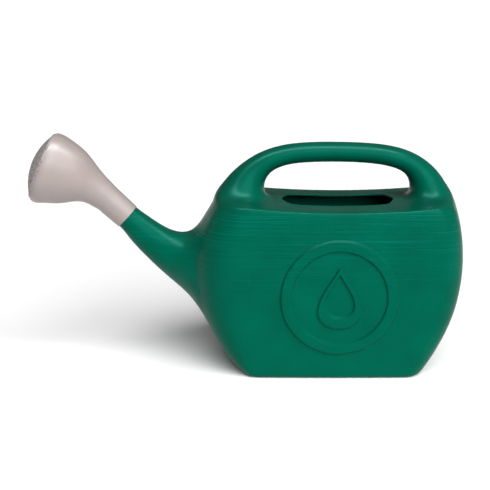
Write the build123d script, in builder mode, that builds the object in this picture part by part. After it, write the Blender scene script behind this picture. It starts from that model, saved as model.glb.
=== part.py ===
from build123d import *

# Two gallon watering can: a blow-moulded can with a built-in handle and spout, and a push-on rose.
#
# Millimetres, +Z up. The spout points along -X and the can is symmetrical about the plane Y = 0.
# The origin is on the ground, under the middle of the object's overall box.
# The can is one hollow moulding. The rose is a shell with a perforated face, and a washer sits in its socket.

import os
from math import atan2, cos, degrees, hypot, radians, sin

os.makedirs("parts", exist_ok=True)

# ---- the tank ----------------------------------------------------------------------------------
wall = 2.4
ridge_height = 206.0  # the shoulder ridge, where the walls meet the top plate
tank_half_width = 79.5
# Level sections of the tank: height as a share of the ridge's, front end, rear end, half width as a
# share of the tank's, radii of the front and the rear corners. The last is the shoulder ridge.
tank_levels = [
    (0.0, 0.0, 214.0, 0.918, 18.0, 20.0),
    (0.145, -28.5, 236.0, 0.95, 30.0, 27.0),
    (0.364, -50.0, 254.5, 0.98, 40.0, 30.0),
    (0.607, -61.0, 262.8, 1.0, 46.0, 30.0),
    (0.801, -56.0, 262.0, 0.994, 46.0, 30.0),
    (1.0, -38.0, 255.5, 0.95, 42.0, 30.0),
]
base_edge_radius = 6.5
foot_width = 8.0  # the flat standing rim, inside the rounded base edge
push_up = 3.0  # how far the base is domed up inside that rim
hollow_corner_radius = 12.0
plate_rise = 2.0  # the top plate climbs this much from the ridge to the collar round the mouth

# ---- the filling mouth: a long opening with blunt pointed ends ----------------------------------
mouth_x = 114.0
mouth_length = 140.0
mouth_width = 68.0
mouth_point = 11.0  # how far each end stands out from its corners
mouth_corner_radius = 9.0
collar_width = 6.0

# ---- the handle: stations along the arch, from the front root to the rear root -----------------
# Each is an outer point and an inner point on the hand hole, both as x and height above the ridge, and
# the half width across.
handle_levels = [
    ((-38.0, -23.5), (30.0, -23.5), 56.0),
    ((-33.5, 2.0), (28.5, 2.0), 43.0),
    ((-28.5, 16.0), (24.5, 12.0), 31.0),
    ((-18.0, 33.0), (23.8, 24.5), 24.0),
    ((-1.5, 48.5), (27.5, 34.8), 19.5),
    ((21.5, 62.5), (40.5, 42.4), 17.5),
    ((49.0, 70.8), (59.0, 47.4), 16.5),
    ((80.0, 73.4), (84.0, 48.9), 16.0),
    ((112.0, 73.8), (112.0, 49.4), 16.0),
    ((145.0, 72.3), (141.0, 48.6), 16.0),
    ((175.0, 69.0), (166.0, 46.0), 16.5),
    ((204.0, 61.0), (186.5, 40.5), 17.5),
    ((226.0, 47.5), (198.5, 34.0), 19.5),
    ((241.0, 31.5), (203.5, 23.5), 24.0),
    ((249.0, 16.0), (205.0, 12.0), 31.0),
    ((251.5, 2.0), (204.0, 2.0), 43.0),
    ((251.0, -23.5), (200.0, -23.5), 56.0),
]
handle_roundness = 0.85  # corner radius of a section, over half its shorter side

# ---- the spout: stations from its shoulder back into the tank ----------------------------------
# Each is a top point and a bottom point, both as x and a share of the ridge's height, and the half width
# across as a share of the tank's.
spout_levels = [
    ((-117.5, 0.897), (-138.5, 0.738), 0.229),
    ((-101.0, 0.843), (-119.3, 0.644), 0.282),
    ((-88.0, 0.809), (-98.5, 0.556), 0.365),
    ((-72.0, 0.803), (-75.5, 0.455), 0.503),
    ((-48.0, 0.8155), (-52.5, 0.32), 0.679),
    ((-15.0, 0.8255), (-15.0, 0.204), 0.855),
]

# ---- the push-on joint between spout and rose --------------------------------------------------
neck_angle = 42.5  # how far the neck's axis rises above level, in degrees
neck_x = -145.5  # where that axis crosses the spout's shoulder
neck_level = 0.904  # the same place's height, as a share of the ridge's
spigot_diameter = 28.4
spigot_length = 24.0
spigot_lead = 1.0
shoulder_step = 1.6  # how far the shoulder stands out round the spigot
fit_gap = 0.06  # radial gap of the socket on the spigot
seat_gap = 0.3  # gap between the rose and the shoulder, and on each side of the washer
washer_thickness = 2.0
washer_width = 2.8

# ---- the rose ----------------------------------------------------------------------------------
rose_wall = 2.0
rose_diameter = 88.0
sleeve_wall = 2.5
sleeve_taper = 1.5  # growth of the sleeve's diameter over the length of the socket
socket_floor = 3.7  # width of the ledge round the waterway, which the washer lies on
# Stations of the bell beyond the socket: how far in front of its end and above it, share of the growth
# from the sleeve's diameter to the rose's, angle of its axis above level.
bell_levels = [
    (5.9, 5.6, 0.01, 41.5),
    (16.4, 14.2, 0.09, 36.5),
    (26.9, 22.0, 0.24, 31.0),
    (38.9, 28.3, 0.52, 27.5),
    (52.4, 33.8, 0.78, 25.5),
    (66.9, 39.3, 0.96, 24.0),
    (81.8, 45.0, 1.0, 22.6),
]
lip = 1.1  # wall left round the perforated face
face_skirt = 5.0
face_gap = 0.05
face_wall = 2.0
dome_height = 15.0
dome_edge = 4.0  # height of the dome at its rounded edge
spray_hole = 1.7
spray_rings = 5
spray_border = 4.4  # plain band between the outer ring of holes and the face's skirt


# ================================ shared geometry ===============================================
def section_plane(top, bottom):
    """The plane that holds two points of the middle plane and runs straight across the can."""
    middle = ((top[0] + bottom[0]) / 2, 0, (top[1] + bottom[1]) / 2)
    upward = Vector(top[0] - bottom[0], 0, top[1] - bottom[1]).normalized()
    across = Vector(0, 1, 0)
    return Plane(origin=middle, x_dir=across, z_dir=across.cross(upward))


def tilted_plane(x, z, angle):
    """The plane square to an axis that points forward and rises by angle, through (x, z)."""
    rise = radians(angle)
    return Plane(origin=(x, 0, z), x_dir=(0, 1, 0), z_dir=(-cos(rise), 0, sin(rise)))


def neck_plane(distance):
    """The plane square to the neck's axis, at a distance past the spout's shoulder."""
    return tilted_plane(neck_x, neck_level * ridge_height, neck_angle).offset(distance)


def section_height(top, bottom):
    return hypot(top[0] - bottom[0], top[1] - bottom[1])


def above_ridge(point):
    """A point of the middle plane that is given by its x and its height above the ridge."""
    return point[0], ridge_height + point[1]


def at_share(point):
    """A point of the middle plane that is given by its x and a share of the ridge's height."""
    return point[0], ridge_height * point[1]


def handle_volume(inset):
    """The arch of the handle with its flared roots, as a solid with every face moved in by inset."""
    with BuildPart() as volume:
        for outer_point, inner_point, half_width in handle_levels:
            outer, inner = above_ridge(outer_point), above_ridge(inner_point)
            depth = section_height(outer, inner)
            radius = handle_roundness * min(depth / 2, half_width) - inset
            with BuildSketch(section_plane(outer, inner)):
                RectangleRounded(2 * (half_width - inset), depth - 2 * inset, radius)
        loft()
    return volume.part


def oval(half_width, half_height):
    """A closed curve through points on an oval, starting at its side."""
    turns = [radians(turn) for turn in range(0, 360, 30)]
    Spline([(half_width * cos(turn), half_height * sin(turn)) for turn in turns], periodic=True)


def spout_volume(inset):
    """The spout's funnel, from the shoulder under the rose to its root inside the tank."""
    stations = [shoulder_station()]
    for top_point, bottom_point, width_share in spout_levels:
        stations.append((at_share(top_point), at_share(bottom_point), width_share * tank_half_width))
    with BuildPart() as volume:
        for top, bottom, half_width in stations:
            with BuildSketch(section_plane(top, bottom)):
                with BuildLine():
                    oval(half_width - inset, section_height(top, bottom) / 2 - inset)
                make_face()
        loft()
    return volume.part


def mouth_outline():
    """The mouth's outline, six sides whose corners are rounded where it is used."""
    half_length = mouth_length / 2
    half_width = mouth_width / 2
    corner = half_length - mouth_point
    Polygon(
        (-half_length, 0),
        (-corner, -half_width),
        (corner, -half_width),
        (half_length, 0),
        (corner, half_width),
        (-corner, half_width),
        align=None,
    )


def tank_volume(inset):
    """The tank as a solid, with every face moved in by inset."""
    roof_height = ridge_height - inset
    base_width = 2 * (tank_levels[0][3] * tank_half_width - base_edge_radius - foot_width + inset)
    base_front = tank_levels[0][1] + base_edge_radius + foot_width - inset
    base_rear = tank_levels[0][2] - base_edge_radius - foot_width + inset
    with BuildPart() as volume:
        for level, front, rear, width_share, front_radius, rear_radius in tank_levels:
            height = min(max(level * ridge_height, inset), roof_height)
            with BuildSketch(Plane.XY.offset(height)) as section:
                with Locations(((front + rear) / 2, 0)):
                    Rectangle(rear - front - 2 * inset, 2 * (width_share * tank_half_width - inset))
                fillet(section.vertices().group_by(Axis.X)[0], front_radius - inset)
                fillet(section.vertices().group_by(Axis.X)[-1], rear_radius - inset)
        loft()
        ridge = volume.faces().sort_by(Axis.Z)[-1]
        fillet(volume.faces().sort_by(Axis.Z)[0].edges(), max(base_edge_radius - inset, 1.0))
        # the low roof that climbs from the ridge to the collar round the mouth
        with BuildSketch(Plane.XY.offset(roof_height)):
            add(ridge.moved(Location((0, 0, -roof_height))))
        with BuildSketch(Plane.XY.offset(roof_height + plate_rise)) as collar:
            with Locations((mouth_x, 0)):
                Rectangle(mouth_length + 2 * collar_width, mouth_width + 2 * collar_width)
            fillet(collar.vertices(), mouth_corner_radius + collar_width)
        loft(ruled=True)
        # the base, pushed up inside its standing rim
        with BuildSketch(Plane.XY) as hollow:
            with Locations(((base_front + base_rear) / 2, 0)):
                Rectangle(base_rear - base_front, base_width)
            fillet(hollow.vertices(), hollow_corner_radius + inset)
        extrude(amount=push_up + inset, mode=Mode.SUBTRACT)
    return volume.part


def shoulder_station():
    """The spout's first station: the shoulder that the rose stops against."""
    half = spigot_diameter / 2 + shoulder_step
    rise = radians(neck_angle)
    centre_height = neck_level * ridge_height
    top = (neck_x + half * sin(rise), centre_height + half * cos(rise))
    bottom = (neck_x - half * sin(rise), centre_height - half * cos(rise))
    return top, bottom, half


# ================================ the can =======================================================
neck_axis = Axis(neck_plane(0).origin, neck_plane(0).z_dir)


def moulded_volume(inset):
    """The outside of the moulding as one solid, or its inside when inset by the wall."""
    with BuildPart() as volume:
        add(tank_volume(inset))
        add(handle_volume(inset))
        add(spout_volume(inset))
    return volume.part


outside = moulded_volume(0)
inside = moulded_volume(wall)

with BuildPart() as can_body:
    add(outside)
    with BuildSketch(neck_plane(0)):
        Circle(spigot_diameter / 2)
    extrude(amount=spigot_length)
    chamfer(can_body.edges().sort_by(neck_axis)[-1], spigot_lead)
    add(inside, mode=Mode.SUBTRACT)
    with BuildSketch(neck_plane(-wall)):
        Circle(spigot_diameter / 2 - wall)
    extrude(amount=spigot_length + 2 * wall, mode=Mode.SUBTRACT)
    with BuildSketch(Plane.XY.offset(ridge_height - 2 * wall)) as mouth:
        with Locations((mouth_x, 0)):
            mouth_outline()
        fillet(mouth.vertices(), mouth_corner_radius)
    extrude(amount=plate_rise + 4 * wall, mode=Mode.SUBTRACT)

can_body.part.label = "can_body"
export_step(can_body.part, "parts/can_body.step")
print("can_body", round(can_body.part.volume), can_body.part.is_valid, len(can_body.part.solids()))

# ================================ the washer in the rose's socket ===============================
socket_bore = spigot_diameter + 2 * fit_gap
socket_depth = spigot_length + washer_thickness + 2 * seat_gap

with BuildPart() as seal_washer:
    with BuildSketch(neck_plane(spigot_length + seat_gap)):
        Circle(spigot_diameter / 2 - seat_gap)
        Circle(spigot_diameter / 2 - seat_gap - washer_width, mode=Mode.SUBTRACT)
    extrude(amount=washer_thickness)

seal_washer.part.label = "seal_washer"
export_step(seal_washer.part, "parts/seal_washer.step")

# ================================ the rose ======================================================
sleeve_diameter = socket_bore + 2 * sleeve_wall
sleeve_end_diameter = sleeve_diameter + sleeve_taper
socket_end = neck_plane(socket_depth).origin


def bell_station(level):
    """The plane and the diameter of one of the bell's stations."""
    ahead, above, growth, angle = level
    diameter = sleeve_end_diameter + growth * (rose_diameter - sleeve_end_diameter)
    return tilted_plane(socket_end.X - ahead, socket_end.Z + above, angle), diameter


rim_plane = bell_station(bell_levels[-1])[0]

with BuildPart() as rose_shell:
    with BuildSketch(neck_plane(seat_gap)):
        Circle(sleeve_diameter / 2)
    extrude(amount=socket_depth - seat_gap, taper=-degrees(atan2(sleeve_taper / 2, socket_depth)))
    with BuildSketch(neck_plane(socket_depth)):
        Circle(sleeve_end_diameter / 2)
    for plane, diameter in map(bell_station, bell_levels):
        with BuildSketch(plane):
            Circle(diameter / 2)
    loft()
    # the waterway, from the bottom of the socket to the inside of the bell
    with BuildSketch(neck_plane(socket_depth - rose_wall)):
        Circle(socket_bore / 2 - socket_floor)
    for plane, diameter in map(bell_station, bell_levels[1:]):
        with BuildSketch(plane):
            Circle(diameter / 2 - rose_wall)
    loft(mode=Mode.SUBTRACT)
    with BuildSketch(neck_plane(0)):
        Circle(socket_bore / 2)
    extrude(amount=socket_depth, mode=Mode.SUBTRACT)
    # the rebate that the perforated face snaps into
    with BuildSketch(rim_plane):
        Circle(rose_diameter / 2 - lip)
    extrude(amount=-face_skirt, mode=Mode.SUBTRACT)

rose_shell.part.label = "rose_shell"
export_step(rose_shell.part, "parts/rose_shell.step")
print("rose_shell", round(rose_shell.part.volume), rose_shell.part.is_valid, len(rose_shell.part.solids()))

face_radius = rose_diameter / 2 - lip - face_gap
spray_pitch = (face_radius - face_wall - spray_border) / spray_rings
profile_plane = Plane(origin=rim_plane.origin, x_dir=(0, 1, 0), z_dir=rim_plane.z_dir.cross(Vector(0, -1, 0)))


def dome_outline(radius, height, edge):
    """A low dome over a straight base line: a long arc between two short upright ones."""
    shoulder = radius - edge
    left = Line((-radius, 0), (radius, 0))
    TangentArc(left @ 1, (shoulder, edge), tangent=(0, 1))
    ThreePointArc((shoulder, edge), (0, height), (-shoulder, edge))
    TangentArc(left @ 0, (-shoulder, edge), tangent=(0, 1))


with BuildPart() as rose_face:
    with BuildSketch(profile_plane):
        with BuildLine():
            dome_outline(face_radius, dome_height, dome_edge)
        make_face()
        with BuildLine():
            dome_outline(face_radius - face_wall, dome_height - face_wall, dome_edge - face_wall)
        make_face(mode=Mode.SUBTRACT)
        with Locations((face_radius - face_wall / 2, -face_skirt / 2)):
            Rectangle(face_wall, face_skirt)
        with Locations((-face_radius, 0)):
            Rectangle(2 * face_radius, 4 * face_radius, mode=Mode.SUBTRACT)
    revolve(axis=Axis(rim_plane.origin, rim_plane.z_dir))
    for ring in range(spray_rings + 1):
        with BuildSketch(rim_plane):
            with PolarLocations(ring * spray_pitch, max(1, 6 * ring)):
                Circle(spray_hole / 2)
        extrude(amount=2 * dome_height, mode=Mode.SUBTRACT)

rose_face.part.label = "rose_face"
export_step(rose_face.part, "parts/rose_face.step")
print("rose_face", round(rose_face.part.volume), rose_face.part.is_valid, len(rose_face.part.solids()))
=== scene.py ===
"""A two gallon watering can: one blow-moulded green body with its handle and spout, and a grey rose.

The body is drawn as a cage of quads, one loop of edges at a time, and then subdivided. The tank starts as a
grid for the top plate. Its outer edge is extruded down the walls and in under the base. Holes are cut where
the mouth, the handle's two roots, the spout and the two badges go, and each hole's rim is extruded in turn.
Lengths here are millimetres until a point is handed to the mesh, which is in metres.
"""

from math import cos, pi, radians, sin

import bmesh
import bpy
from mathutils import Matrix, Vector


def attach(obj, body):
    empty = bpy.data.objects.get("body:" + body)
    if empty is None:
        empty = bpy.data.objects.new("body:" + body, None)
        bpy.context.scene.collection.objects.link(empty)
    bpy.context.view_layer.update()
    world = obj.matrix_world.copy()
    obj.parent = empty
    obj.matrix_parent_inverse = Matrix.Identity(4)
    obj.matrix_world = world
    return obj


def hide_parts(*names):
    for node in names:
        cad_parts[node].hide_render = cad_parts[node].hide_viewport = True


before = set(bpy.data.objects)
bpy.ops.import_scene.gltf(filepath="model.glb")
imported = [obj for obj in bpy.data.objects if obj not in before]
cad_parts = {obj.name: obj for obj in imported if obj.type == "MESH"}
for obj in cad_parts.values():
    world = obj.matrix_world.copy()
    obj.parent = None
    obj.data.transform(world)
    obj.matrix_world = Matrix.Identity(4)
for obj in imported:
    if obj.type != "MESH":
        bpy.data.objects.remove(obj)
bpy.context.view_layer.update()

MM = 0.001

# ---- the tank: height, front end, rear end, half width, radii of the front and the rear corners ----
tank_levels = [
    (0.0, 0.0, 214.0, 73.0, 18.0, 20.0),
    (30.0, -28.0, 234.6, 75.5, 30.0, 27.0),
    (75.0, -50.0, 254.5, 78.0, 40.0, 30.0),
    (125.0, -61.0, 262.8, 79.5, 46.0, 30.0),
    (165.0, -56.0, 262.0, 79.0, 46.0, 30.0),
    (206.0, -38.0, 255.5, 75.5, 42.0, 30.0),
]
panel_crown = 1.0  # how far the middle of a side panel stands out from its ends
front_crown = 4.0
rear_crown = 5.0

# The grid of the top plate, which every ring of the wall follows.
columns, rows, corner_cells = 18, 10, 3

# The ridge is lowest at the middle of the panel and climbs to both ends, where it fades out under the handle.
ridge_middle, ridge_low, ridge_climb = 118.0, 206.2, 5.6
# Rings of the wall from the ridge down: height over the ridge's low point and how far in from the wall along
# the panel; the same at the ends' corners; the same at the middle of the two ends.
ridge_rings = [
    ((0.0, 4.2), (2.4, 12.0), (2.6, 4.4)),
    ((-0.9, 1.2), (-2.0, 6.5), (-2.5, 2.6)),
    ((-4.0, 0.1), (-8.0, 2.2), (-9.0, 0.8)),
]
wall_heights = [188.0, 167.0, 146.0, 125.5, 105.0, 84.0, 63.0, 42.5, 22.0, 13.0]
base_rings = [(5.0, 0.0), (1.4, 1.2), (0.0, 5.5), (0.0, 13.0), (0.6, 16.0), (3.0, 19.0), (3.0, 24.0)]

# ---- the filling mouth --------------------------------------------------------------------------
mouth_x, mouth_length, mouth_width, mouth_point = 114.0, 140.0, 68.0, 11.0
mouth_columns, mouth_rows = (6, 12), (3, 7)
# Loops of its lip: how far outside the opening, height.
lip_loops = [(7.5, 206.0), (3.0, 206.6), (1.0, 206.8), (0.0, 206.2)]
lip_climb = 3.0  # how much higher the mouth's pointed ends are than its middle

# ---- the handle: outer point (x, z), inner point (x, z), half width, squareness ----------------
# The first station of each root is its foot, on the rim of the hole in the top plate.
front_root = [
    ((-34.6, 218.4), (33.0, 209.4), 44.0, 2.25),
    ((-31.2, 224.0), (27.0, 212.8), 37.0, 2.15),
    ((-25.8, 230.6), (23.2, 220.5), 30.0, 2.0),
    ((-16.5, 242.0), (24.0, 231.5), 23.5, 1.95),
    ((-0.5, 256.0), (30.5, 242.0), 18.8, 1.9),
    ((21.8, 269.2), (42.0, 248.8), 17.0, 1.85),
    ((49.6, 277.2), (60.0, 253.4), 16.3, 1.8),
    ((81.0, 279.6), (85.0, 254.8), 16.0, 1.8),
    ((112.0, 279.7), (112.0, 255.2), 16.0, 1.8),
]
rear_root = [
    ((253.4, 218.4), (195.0, 209.4), 44.0, 2.25),
    ((250.2, 224.0), (201.0, 212.8), 37.0, 2.15),
    ((245.4, 231.0), (203.6, 220.5), 30.0, 2.0),
    ((239.2, 241.0), (202.4, 231.5), 23.5, 1.95),
    ((225.0, 255.6), (197.5, 241.2), 18.8, 1.9),
    ((202.6, 269.0), (184.5, 247.8), 17.0, 1.85),
    ((174.4, 276.4), (165.0, 252.2), 16.3, 1.8),
    ((144.0, 278.8), (140.0, 254.4), 16.0, 1.8),
    ((112.0, 279.7), (112.0, 255.2), 16.0, 1.8),
]
root_rows = (2, 8)
front_root_columns, rear_root_columns = (1, 4), (14, 17)

# ---- the spout: top point (x, z), bottom point (x, z), half width --------------------------------
spout_stations = [
    ((-69.0, 166.2), (-64.5, 82.0), 47.0),
    ((-79.0, 165.4), (-77.0, 94.4), 38.0),
    ((-90.0, 167.8), (-91.0, 105.9), 30.0),
    ((-101.0, 173.4), (-107.0, 119.8), 24.0),
    ((-111.0, 180.0), (-122.6, 135.4), 20.2),
    ((-123.3, 188.8), (-140.6, 154.4), 17.8),
]
spout_rings = (1, 6)  # the wall heights between which its root is cut
spout_rows = (2, 8)
neck_angle = radians(42.5)
neck_x, neck_z = -145.5, 186.2
# Loops of the shoulder and the spigot: distance along the neck, radius.
spigot_loops = [
    (-9.0, 16.3), (-1.4, 15.85), (-0.3, 15.8), (0.0, 15.5), (0.0, 14.5), (0.3, 14.1),
    (2.0, 14.1), (12.0, 14.1), (22.8, 14.1), (23.7, 13.8), (24.0, 13.2),
]

# ---- the badge on each side panel: a ring round a water drop -------------------------------------
badge_columns = (4, 14)
badge_rings = (0, 8)
badge_x, badge_z, badge_height = 112.5, 103.5, 3.0
# Loops of the ring: radius, share of the raised height.
ring_loops = [
    (74.0, 0.0), (71.9, 0.0), (71.1, 0.04), (69.9, 0.92), (69.1, 1.0), (66.4, 1.0),
    (61.6, 1.0), (59.0, 1.0), (58.2, 0.92), (57.0, 0.04), (56.2, 0.0), (54.0, 0.0),
]
# Half the drop's height and width, and its loops: offset outwards, share of the raised height.
drop_height, drop_width = 39.0, 26.5
drop_loops = [
    (3.0, 0.0), (1.1, 0.0), (0.3, 0.04), (-0.9, 0.92), (-1.7, 1.0),
    (-7.5, 1.0), (-8.3, 0.92), (-9.5, 0.04), (-10.3, 0.0), (-13.0, 0.0),
]

wall_thickness = 2.4
smoothing_levels = 2

# ---- the camera: what it looks at, how far off it is, and how wide a view it takes there ---------
camera_target_z, camera_distance, view_width = 149.8, 1400.0, 612.0
camera_rise = radians(13.5)

# ---- the light -----------------------------------------------------------------------------------
sun_energy, sun_spread = 5.2, radians(62)
sun_rise, sun_aside = radians(39), radians(25)  # above level, and to the rear of the can
strip_length, strip_width, strip_energy = 1.1, 0.12, 24  # metres and watts
strip_place = (0, -0.1, 1.1)
room_light, room_seen = 0.15, 1.0  # strength of the room's light, and how bright it looks


# ================================ outlines =======================================================
def lerp(a, b, share):
    return a + (b - a) * share


def tank_shape(height):
    """The tank's front, rear, half width and corner radii at a height, on a smooth curve."""
    levels = tank_levels
    k = max(0, min(len(levels) - 2, sum(height > level[0] for level in levels) - 1))
    low, high = levels[k], levels[k + 1]
    before = levels[k - 1] if k else low
    after = levels[k + 2] if k + 2 < len(levels) else high
    t = (height - low[0]) / (high[0] - low[0])
    span = high[0] - low[0]
    shape = []
    for a, p, q, b in zip(before[1:], low[1:], high[1:], after[1:]):
        slope_p = (q - a) / (high[0] - before[0]) * span
        slope_q = (b - p) / (after[0] - low[0]) * span
        shape.append(
            p * (2 * t**3 - 3 * t**2 + 1)
            + slope_p * (t**3 - 2 * t**2 + t)
            + q * (3 * t**2 - 2 * t**3)
            + slope_q * (t**3 - t**2)
        )
    return shape


def bulge(share):
    return 4 * share * (1 - share)


def rim_point(shape, inset, key):
    """Where a cell corner on the grid's edge lies on the tank's outline, inset from the wall."""
    column, row = key
    front, rear, half, front_r, rear_r = shape
    front, rear, half = front + inset, rear - inset, half - inset
    front_r, rear_r = front_r - inset, rear_r - inset
    if row in (0, rows):
        side = -1 if row == 0 else 1
        if column <= corner_cells:
            turn = radians(45 + 45 * column / corner_cells)
            return front + front_r * (1 - cos(turn)), side * (half - front_r * (1 - sin(turn)))
        if column >= columns - corner_cells:
            turn = radians(45 + 45 * (columns - column) / corner_cells)
            return rear - rear_r * (1 - cos(turn)), side * (half - rear_r * (1 - sin(turn)))
        share = (column - corner_cells) / (columns - 2 * corner_cells)
        return lerp(front + front_r, rear - rear_r, share), side * (half + panel_crown * bulge(share))
    end, end_r, forward, crown = (
        (front, front_r, -1, front_crown) if column == 0 else (rear, rear_r, 1, rear_crown)
    )
    straight = half - end_r
    if corner_cells <= row <= rows - corner_cells:
        share = (row - corner_cells) / (rows - 2 * corner_cells)
        return end + forward * crown * bulge(share), lerp(-straight, straight, share)
    side = -1 if row < corner_cells else 1
    turn = radians(45 * (corner_cells - min(row, rows - row)) / corner_cells)
    return end - forward * end_r * (1 - cos(turn)), side * (straight + end_r * sin(turn))


def inner_point(shape, inset, key):
    """A cell corner inside the grid, carried by the four edges round it."""
    column, row = key
    u, v = column / columns, row / rows
    near, far = (Vector(rim_point(shape, inset, (column, r))) for r in (0, rows))
    front, rear = (Vector(rim_point(shape, inset, (c, row))) for c in (0, columns))
    ends = ((0, 0), (columns, 0), (0, rows), (columns, rows))
    corners = [Vector(rim_point(shape, inset, end)) for end in ends]
    across = near.lerp(far, v) + front.lerp(rear, u)
    return across - corners[0].lerp(corners[1], u).lerp(corners[2].lerp(corners[3], u), v)


def panel_half_width(x, height):
    """How far out a side panel is at a place on its flat stretch."""
    front, rear, half, front_r, rear_r = tank_shape(height)
    share = (x - front - front_r) / (rear - rear_r - front - front_r)
    return half + panel_crown * bulge(min(max(share, 0), 1))


def evenly(curve, count):
    """Points spaced evenly along a closed curve, which is a function of a turn from 0 to 1."""
    fine = [Vector(curve(k / 720)) for k in range(721)]
    run = [0.0]
    for a, b in zip(fine, fine[1:]):
        run.append(run[-1] + (b - a).length)
    points, k = [], 0
    for n in range(count):
        goal = run[-1] * n / count
        while run[k + 1] < goal:
            k += 1
        points.append(fine[k].lerp(fine[k + 1], (goal - run[k]) / (run[k + 1] - run[k])))
    return points


def signed_power(value, power):
    return (1 if value >= 0 else -1) * abs(value) ** power


def section(outer, inner, half_width, squareness, count):
    """A closed section across the can, from its outer point round by the near side."""
    centre = Vector(((outer[0] + inner[0]) / 2, 0, (outer[1] + inner[1]) / 2))
    reach = Vector((outer[0] - inner[0], 0, outer[1] - inner[1])) / 2
    swell = 3 / (2 + cos(2 * pi / count))  # makes up for what subdivision takes off

    def curve(turn):
        up = signed_power(cos(2 * pi * turn), 2 / squareness)
        near = signed_power(sin(2 * pi * turn), 2 / squareness)
        return centre + reach * up * swell + Vector((0, -half_width * near * swell, 0))

    return evenly(curve, count)


def neck_circle(distance, radius, count):
    """A circle round the neck's axis, from its top round by the near side."""
    swell = 3 / (2 + cos(2 * pi / count))
    centre = Vector((neck_x - distance * cos(neck_angle), 0, neck_z + distance * sin(neck_angle)))
    up = Vector((sin(neck_angle), 0, cos(neck_angle)))
    turns = [2 * pi * n / count for n in range(count)]
    return [centre + swell * radius * (up * cos(a) + Vector((0, -sin(a), 0))) for a in turns]


def mouth_point_at(key, margin):
    """A cell corner on the mouth's rim, which has blunt pointed ends."""
    column, row = key
    half_length, half_width = mouth_length / 2 + margin, mouth_width / 2 + margin
    corner = half_length - mouth_point
    along = 2 * (column - mouth_columns[0]) / (mouth_columns[1] - mouth_columns[0]) - 1
    over = 2 * (row - mouth_rows[0]) / (mouth_rows[1] - mouth_rows[0]) - 1
    x = along * (corner + (mouth_point * (1 - abs(over)) if abs(along) == 1 else 0))
    return Vector((mouth_x + x, over * half_width))


# ================================ working on a cage ==============================================
def deselect_all():
    if bpy.context.mode != "OBJECT":
        bpy.ops.object.mode_set(mode="OBJECT")
    bpy.ops.object.select_all(action="DESELECT")


def edit_mesh(piece):
    """The mesh of a piece in edit mode, its tags, and its vertices by tag."""
    mesh = bmesh.from_edit_mesh(piece.data)
    tags = mesh.verts.layers.int.get("tag") or mesh.verts.layers.int.new("tag")
    return mesh, tags, {v[tags]: v for v in mesh.verts}


def select_nothing(mesh):
    for part in (*mesh.faces, *mesh.edges, *mesh.verts):
        part.select = False


fresh_tags = iter(range(100000, 10000000))


def extrude_loop(piece, loop, points):
    """Extrudes a closed loop, given as tags, and puts the new loop on points. Returns its tags."""
    mesh, tags, at = edit_mesh(piece)
    select_nothing(mesh)
    for a, b in zip(loop, loop[1:] + loop[:1]):
        mesh.edges.get((at[a], at[b])).select_set(True)
    bmesh.update_edit_mesh(piece.data)
    bpy.ops.mesh.extrude_edges_indiv()
    mesh, tags, at = edit_mesh(piece)
    made = {v[tags]: v for v in mesh.verts if v.select}
    new_loop = []
    for old, point in zip(loop, points):
        tag = next(fresh_tags)
        made[old].co = Vector(point) * MM
        made[old][tags] = tag
        new_loop.append(tag)
    bmesh.update_edit_mesh(piece.data)
    return new_loop


def cut_hole(piece, corners):
    """Deletes the faces whose corners are all in a set of tags."""
    mesh, tags, at = edit_mesh(piece)
    select_nothing(mesh)
    for face in mesh.faces:
        if all(v[tags] in corners for v in face.verts):
            face.select_set(True)
    bmesh.update_edit_mesh(piece.data)
    bpy.ops.mesh.delete(type="FACE")


def relax(piece, chosen, repeats):
    """Smooths the chosen vertices between the ones that stay."""
    mesh, tags, at = edit_mesh(piece)
    select_nothing(mesh)
    for tag in chosen:
        if tag in at:
            at[tag].select_set(True)
    bmesh.update_edit_mesh(piece.data)
    bpy.ops.mesh.vertices_smooth(factor=0.5, repeat=repeats)


def move_loop(piece, loop, points):
    mesh, tags, at = edit_mesh(piece)
    for tag, point in zip(loop, points):
        at[tag].co = Vector(point) * MM
    bmesh.update_edit_mesh(piece.data)


def block_rim(a_low, a_high, b_low, b_high):
    """The rim of a block of cells, from the middle of its low side in a, by the low side in b."""
    middle = (b_low + b_high) // 2
    rim = [(a_low, b) for b in range(middle, b_low, -1)]
    rim += [(a, b_low) for a in range(a_low, a_high)]
    rim += [(a_high, b) for b in range(b_low, b_high)]
    rim += [(a, b_high) for a in range(a_high, a_low, -1)]
    return rim + [(a_low, b) for b in range(b_high, middle, -1)]


def block(a_span, b_span):
    return [(a, b) for a in range(a_span[0], a_span[1] + 1) for b in range(b_span[0], b_span[1] + 1)]


# ================================ the body =======================================================
def grid_tag(key):
    return 1000 + 100 * key[0] + key[1]


def add_plate(name, height_of, inset, height, first_tag):
    """A grid laid out to the tank's outline at a height, tagged by its columns and rows."""
    deselect_all()
    bpy.ops.mesh.primitive_grid_add(x_subdivisions=columns, y_subdivisions=rows, size=2)
    plate = bpy.context.object
    plate.name = name
    bpy.ops.object.mode_set(mode="EDIT")
    mesh, tags, at = edit_mesh(plate)
    shape = tank_shape(height)
    for v in mesh.verts:
        key = (round((v.co.x + 1) / 2 * columns), round((v.co.y + 1) / 2 * rows))
        on_rim = key[0] in (0, columns) or key[1] in (0, rows)
        x, y = rim_point(shape, inset, key) if on_rim else inner_point(shape, inset, key)
        v.co = Vector((x, y, height_of(x, y))) * MM
        v[tags] = first_tag + 100 * key[0] + key[1]
    bmesh.update_edit_mesh(plate.data)
    return plate


def end_share(x):
    """How near a place is to the plate's ends: 0 along the mouth, 1 where the handle's roots are."""
    return max(blend_share(-x, -14.0, 26.0), blend_share(x, 220.0, 246.0))


def blend_share(value, low, high):
    """0 up to a low value, 1 from a high one, and a smooth step between them."""
    share = min(max((value - low) / (high - low), 0.0), 1.0)
    return share * share * (3 - 2 * share)


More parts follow.
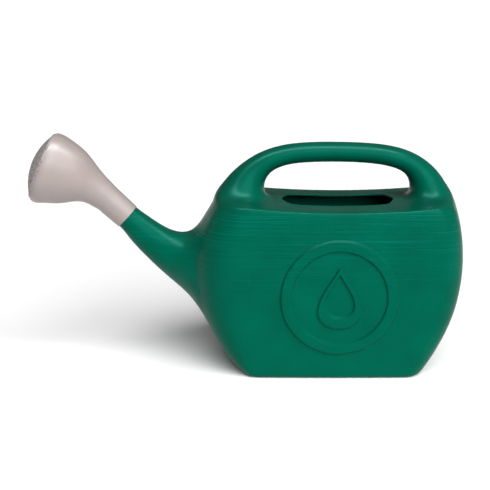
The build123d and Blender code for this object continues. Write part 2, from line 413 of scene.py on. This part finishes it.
def ridge_height(x):
    return ridge_low + ridge_climb * min(1.0, ((x - ridge_middle) / 115) ** 2)


def ridge_point(levels, key):
    """A place on one of the ridge's rings, which swing in and up where the handle's roots stand."""
    x, y = rim_point(tank_shape(ridge_low), 0, key)
    ended, cornered = end_share(x), blend_share(abs(y), 12.0, 62.0)
    panel, corner, middle = levels
    at_end = [lerp(m, c, cornered) for m, c in zip(middle, corner)]
    lift, inset = (lerp(p, e, ended) for p, e in zip(panel, at_end))
    return (*rim_point(tank_shape(ridge_low), inset, key), ridge_height(x) + lift)


def build_walls(body):
    """Extrudes the plate's edge down to the floor and in to the push-up. Returns the rings' tags."""
    keys = block_rim(0, columns, 0, rows)
    ring = [grid_tag(key) for key in keys]
    rings = [ring]
    for n, levels in enumerate(ridge_rings):
        points = [ridge_point(levels, key) for key in keys]
        if n == 0:
            move_loop(body, ring, points)
        else:
            ring = extrude_loop(body, ring, points)
            rings.append(ring)
    for height in wall_heights:
        points = [(*rim_point(tank_shape(height), 0, key), height) for key in keys]
        ring = extrude_loop(body, ring, points)
        rings.append(ring)
    for height, inset in base_rings:
        points = [(*rim_point(tank_shape(min(height, 8)), inset, key), height) for key in keys]
        ring = extrude_loop(body, ring, points)
        rings.append(ring)
    return keys, rings


def build_mouth(body):
    """Cuts the mouth and turns its lip up, over and down."""
    keys = block_rim(*mouth_columns, *mouth_rows)
    cut_hole(body, {grid_tag(key) for key in block(mouth_columns, mouth_rows)})
    loop = [grid_tag(key) for key in keys]
    for n, (margin, height) in enumerate(lip_loops):
        spots = [mouth_point_at(key, margin) for key in keys]
        points = [(x, y, height + lip_climb * ((x - mouth_x) / (mouth_length / 2)) ** 2) for x, y in spots]
        if n == 0:
            move_loop(body, loop, points)
        else:
            loop = extrude_loop(body, loop, points)


def build_handle_root(body, stations, span, outer_first):
    """Cuts a root and draws the handle up from it to the crown. Returns the root's foot."""
    keys = block_rim(*span, *root_rows)
    if not outer_first:
        keys = [(span[0] + span[1] - column, row) for column, row in keys]
    cut_hole(body, {grid_tag(key) for key in block(span, root_rows)})
    foot = [grid_tag(key) for key in keys]
    move_loop(body, foot, section(*stations[0], len(keys)))
    loop = foot
    for station in stations[1:]:
        loop = extrude_loop(body, loop, section(*station, len(keys)))
    return foot


def build_spout(body, keys, rings):
    """Cuts the spout's root in the front wall and draws it out to the spigot."""
    place = {key: n for n, key in enumerate(keys)}
    first = len(ridge_rings)
    tag = lambda ring, row: rings[first + ring][place[(0, row)]]
    rim = [tag(*cell) for cell in block_rim(*spout_rings, *spout_rows)]
    cut_hole(body, {tag(*cell) for cell in block(spout_rings, spout_rows)})
    loop = rim
    for top, bottom, half_width in spout_stations:
        loop = extrude_loop(body, loop, section(top, bottom, half_width, 2.0, len(rim)))
    for distance, radius in spigot_loops:
        loop = extrude_loop(body, loop, neck_circle(distance, radius, len(rim)))
    return rim


def drop_curve(offset):
    """The outline of a water drop, grown or shrunk by an offset, from its tip."""
    tall, wide = drop_height + 1.35 * offset, drop_width + offset
    low = -0.32 * offset

    def curve(turn):
        a = 2 * pi * turn
        return Vector((-wide / 0.7 * sin(a) * abs(sin(a / 2)) ** 1.5, 0, tall * cos(a) + low))

    return curve


def build_badge(body, keys, rings, side):
    """Cuts a panel and fills it again with a raised ring and a raised drop."""
    place = {key: n for n, key in enumerate(keys)}
    first = len(ridge_rings)
    row = 0 if side < 0 else rows
    tag = lambda ring, column: rings[first + ring][place[(column, row)]]
    rim = [tag(*cell) for cell in block_rim(*badge_rings, *badge_columns)]
    cut_hole(body, {tag(*cell) for cell in block(badge_rings, badge_columns)})

    def on_panel(x, z, raised):
        return (x, side * (panel_half_width(x, z) + badge_height * raised), z)

    loop, count = rim, len(rim)
    for radius, raised in ring_loops:
        turns = [2 * pi * n / count for n in range(count)]
        spots = [(badge_x - radius * sin(a), badge_z + radius * cos(a)) for a in turns]
        loop = extrude_loop(body, loop, [on_panel(x, z, raised) for x, z in spots])
    for offset, raised in drop_loops:
        spots = evenly(drop_curve(offset), count)
        loop = extrude_loop(body, loop, [on_panel(badge_x + p.x, badge_z + p.z, raised) for p in spots])
    mesh, tags, at = edit_mesh(body)
    select_nothing(mesh)
    for a, b in zip(loop, loop[1:] + loop[:1]):
        mesh.edges.get((at[a], at[b])).select_set(True)
    bmesh.update_edit_mesh(body.data)
    bpy.ops.mesh.fill_grid(span=count // 4)


def apply_modifiers(piece):
    deselect_all()
    piece.select_set(True)
    bpy.context.view_layer.objects.active = piece
    for modifier in list(piece.modifiers):
        bpy.ops.object.modifier_apply(modifier=modifier.name)


def model_body():
    """The moulded body: tank, handle and spout in one skin, then its wall and its final smoothness."""
    body = add_plate("watering_can_body", lambda x, y: ridge_low, 4.2, ridge_low, 1000)
    keys, rings = build_walls(body)
    build_mouth(body)
    front = build_handle_root(body, front_root, front_root_columns, True)
    rear = build_handle_root(body, rear_root, rear_root_columns, False)
    spout_rim = build_spout(body, keys, rings)
    for side in (-1, 1):
        build_badge(body, keys, rings, side)
    # the plate is drawn tight between the ridge, the mouth's lip and the handle
    loose = {grid_tag(k) for k in block((1, columns - 1), (1, rows - 1))}
    loose -= {grid_tag(k) for k in block_rim(*mouth_columns, *mouth_rows)}
    loose -= set(front + rear)
    relax(body, loose, 30)
    relax(body, set(spout_rim), 4)
    # the base closes on its own plate
    bpy.ops.object.mode_set(mode="OBJECT")
    height, inset = base_rings[-1]
    base = add_plate("base_plate", lambda x, y: height, inset, min(height, 8), 30000)
    deselect_all()
    base.select_set(True)
    body.select_set(True)
    bpy.context.view_layer.objects.active = body
    bpy.ops.object.join()
    bpy.ops.object.mode_set(mode="EDIT")
    bpy.ops.mesh.select_all(action="SELECT")
    bpy.ops.mesh.remove_doubles(threshold=0.02 * MM)
    bpy.ops.mesh.normals_make_consistent(inside=False)
    bpy.ops.object.mode_set(mode="OBJECT")
    skin = body.modifiers.new("wall", "SOLIDIFY")
    skin.thickness = wall_thickness * MM
    skin.offset = -1
    smooth = body.modifiers.new("smooth", "SUBSURF")
    smooth.levels = smooth.render_levels = smoothing_levels
    apply_modifiers(body)
    bpy.ops.object.shade_smooth()
    return body


# ================================ materials ======================================================
class Finish:
    """A procedural plastic on Object coordinates, built up from noise."""

    def __init__(self, name, roughness, specular):
        self.material = bpy.data.materials.new(name)
        self.material.use_nodes = True
        self.tree = self.material.node_tree
        self.shader = self.tree.nodes["Principled BSDF"]
        self.shader.inputs["Roughness"].default_value = roughness
        self.shader.inputs["Specular IOR Level"].default_value = specular
        self.place = self.add("ShaderNodeTexCoord").outputs["Object"]
        self.normal = None

    def add(self, kind, **settings):
        node = self.tree.nodes.new(kind)
        for name, value in settings.items():
            setattr(node, name, value)
        return node

    def link(self, source, socket):
        self.tree.links.new(source, socket)

    def noise(self, scale, stretch=(1, 1, 1), detail=3.0):
        """Noise with a number of grains to the metre, drawn out along an axis by a small stretch."""
        mapping = self.add("ShaderNodeMapping")
        mapping.inputs["Scale"].default_value = [scale * part for part in stretch]
        self.link(self.place, mapping.inputs["Vector"])
        texture = self.add("ShaderNodeTexNoise")
        texture.inputs["Scale"].default_value = 1.0
        texture.inputs["Detail"].default_value = detail
        self.link(mapping.outputs["Vector"], texture.inputs["Vector"])
        return texture.outputs["Fac"]

    def ranged(self, value, low, high, to_low, to_high):
        node = self.add("ShaderNodeMapRange")
        limits = {"From Min": low, "From Max": high, "To Min": to_low, "To Max": to_high}
        for name, number in limits.items():
            node.inputs[name].default_value = number
        self.link(value, node.inputs["Value"])
        return node.outputs["Result"]

    def math(self, operation, first, second):
        node = self.add("ShaderNodeMath", operation=operation)
        for socket, value in zip(node.inputs, (first, second)):
            if isinstance(value, (int, float)):
                socket.default_value = value
            else:
                self.link(value, socket)
        return node.outputs["Value"]

    def height(self, low, high):
        """0 below one height and 1 above another, in metres."""
        split = self.add("ShaderNodeSeparateXYZ")
        self.link(self.place, split.inputs["Vector"])
        return self.ranged(split.outputs["Z"], low, high, 0, 1)

    def mixed(self, share, first, second):
        """A colour between two, where each may be a colour or a socket."""
        node = self.add("ShaderNodeMix", data_type="RGBA")
        self.link(share, node.inputs["Factor"])
        for socket, value in zip((node.inputs[6], node.inputs[7]), (first, second)):
            if isinstance(value, tuple):
                socket.default_value = (*value, 1)
            else:
                self.link(value, socket)
        return node.outputs[2]

    def colour(self, socket):
        self.link(socket, self.shader.inputs["Base Color"])

    def roughness(self, socket):
        self.link(socket, self.shader.inputs["Roughness"])

    def bump(self, height, strength, depth):
        """Adds relief, depth in metres, on top of what is there."""
        node = self.add("ShaderNodeBump")
        node.inputs["Strength"].default_value = strength
        node.inputs["Distance"].default_value = depth
        self.link(height, node.inputs["Height"])
        if self.normal:
            self.link(self.normal, node.inputs["Normal"])
        self.normal = node.outputs["Normal"]
        self.link(self.normal, self.shader.inputs["Normal"])


def green_plastic():
    """Blow-moulded polyethylene: satin, faintly clouded, with drag lines high on its walls."""
    finish = Finish("green_plastic", 0.31, 0.08)
    finish.shader.inputs["Specular Tint"].default_value = (0.12, 1.0, 0.9, 1)
    clouds = finish.noise(22)
    clouded = finish.ranged(clouds, 0.3, 0.7, 0, 1)
    body_colour = finish.mixed(clouded, (0.0, 0.068, 0.040), (0.0, 0.083, 0.050))
    upper = finish.math("MULTIPLY", finish.height(0.09, 0.185), finish.height(0.216, 0.202))
    drag = finish.noise(9, (1, 1, 85), 6.0)
    lines = finish.math("MULTIPLY", finish.ranged(drag, 0.52, 0.72, 0, 1), upper)
    finish.colour(finish.mixed(finish.math("MULTIPLY", lines, 0.4), body_colour, (0.002, 0.17, 0.118)))
    finish.roughness(finish.ranged(finish.noise(60), 0.3, 0.7, 0.27, 0.35))
    finish.bump(finish.math("MULTIPLY", drag, upper), 0.45, 0.0008)
    finish.bump(finish.noise(700), 0.05, 0.0001)
    return finish.material


def grey_plastic():
    """Injection-moulded polypropylene of the rose: warm pale grey, satin."""
    finish = Finish("grey_plastic", 0.36, 0.42)
    clouds = finish.ranged(finish.noise(28), 0.32, 0.68, 0, 1)
    finish.colour(finish.mixed(clouds, (0.262, 0.226, 0.214), (0.295, 0.245, 0.232)))
    finish.roughness(finish.ranged(finish.noise(110), 0.3, 0.7, 0.34, 0.46))
    finish.bump(finish.noise(650), 0.15, 0.0002)
    return finish.material


def grey_plastic_face():
    """The rose's perforated face: the same plastic, grained, with painted shade darkening the pits of its
    grain.
    """
    finish = Finish("grey_plastic_face", 0.6, 0.35)
    grain = finish.add("ShaderNodeTexVoronoi")
    grain.inputs["Scale"].default_value = 400
    finish.link(finish.place, grain.inputs["Vector"])
    # the grain's pits are real relief through the bump below; their near-black colour is painted shade in
    # those pits
    pit_relief_and_shade = finish.ranged(grain.outputs["Distance"], 0.18, 0.42, 0, 1)
    grain_with_pit_shade = finish.mixed(pit_relief_and_shade, (0.035, 0.031, 0.03), (0.27, 0.245, 0.236))
    finish.colour(grain_with_pit_shade)
    finish.bump(pit_relief_and_shade, 0.5, 0.0006)
    return finish.material


def black_rubber():
    """The soft washer in the socket."""
    finish = Finish("black_rubber", 0.75, 0.3)
    dust = finish.ranged(finish.noise(240), 0.35, 0.7, 0, 1)
    finish.colour(finish.mixed(dust, (0.012, 0.012, 0.012), (0.03, 0.03, 0.029)))
    finish.bump(finish.noise(900), 0.2, 0.0002)
    return finish.material


def pale_floor():
    """The studio's floor: matt, nearly white, faintly uneven."""
    finish = Finish("pale_floor", 0.9, 0.1)
    shade = finish.ranged(finish.noise(3), 0.3, 0.7, 0, 1)
    finish.colour(finish.mixed(shade, (0.93, 0.93, 0.93), (0.95, 0.95, 0.95)))
    return finish.material


# ================================ the scene ======================================================
def set_camera():
    camera = bpy.data.cameras.new("camera")
    camera.lens = camera.sensor_width * camera_distance / view_width
    holder = bpy.data.objects.new("camera", camera)
    towards = Vector((0, -cos(camera_rise), sin(camera_rise)))
    holder.location = Vector((0, 0, camera_target_z)) * MM + towards * camera_distance * MM
    holder.rotation_euler = (pi / 2 - camera_rise, 0, 0)
    bpy.context.collection.objects.link(holder)
    bpy.context.scene.camera = holder


def set_stage():
    deselect_all()
    bpy.ops.mesh.primitive_plane_add(size=80, location=(0, 0, 0))
    floor = bpy.context.object
    floor.name = "floor"
    floor.data.materials.append(pale_floor())
    world = bpy.data.worlds.new("studio")
    world.use_nodes = True
    tree = world.node_tree
    background = tree.nodes["Background"]
    background.inputs["Color"].default_value = (1, 1, 1, 1)
    seen = tree.nodes.new("ShaderNodeLightPath")
    strength = tree.nodes.new("ShaderNodeMapRange")
    strength.inputs["To Min"].default_value = room_light
    strength.inputs["To Max"].default_value = room_seen
    tree.links.new(seen.outputs["Is Camera Ray"], strength.inputs["Value"])
    tree.links.new(strength.outputs["Result"], background.inputs["Strength"])
    bpy.context.scene.world = world
    sun = bpy.data.lights.new("studio_key", "SUN")
    sun.energy = sun_energy
    sun.angle = sun_spread
    holder = bpy.data.objects.new("studio_key", sun)
    level = Vector((sin(sun_aside), -cos(sun_aside), 0))
    towards = level * cos(sun_rise) + Vector((0, 0, sin(sun_rise)))
    holder.rotation_euler = towards.to_track_quat("Z", "Y").to_euler()
    bpy.context.collection.objects.link(holder)
    strip = bpy.data.lights.new("overhead_strip", "AREA")
    strip.shape = "RECTANGLE"
    strip.size, strip.size_y, strip.energy = strip_length, strip_width, strip_energy
    overhead = bpy.data.objects.new("overhead_strip", strip)
    overhead.location = strip_place
    overhead.visible_diffuse = False
    bpy.context.collection.objects.link(overhead)
    bpy.context.scene.view_settings.view_transform = "Standard"


body = model_body()
body.data.materials.clear()
body.data.materials.append(green_plastic())
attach(body, "can")
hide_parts("can_body")

finishes = {"rose_shell": grey_plastic, "rose_face": grey_plastic_face, "seal_washer": black_rubber}
for node, finish in finishes.items():
    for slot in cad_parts[node].material_slots:
        slot.material = finish()

set_camera()
set_stage()
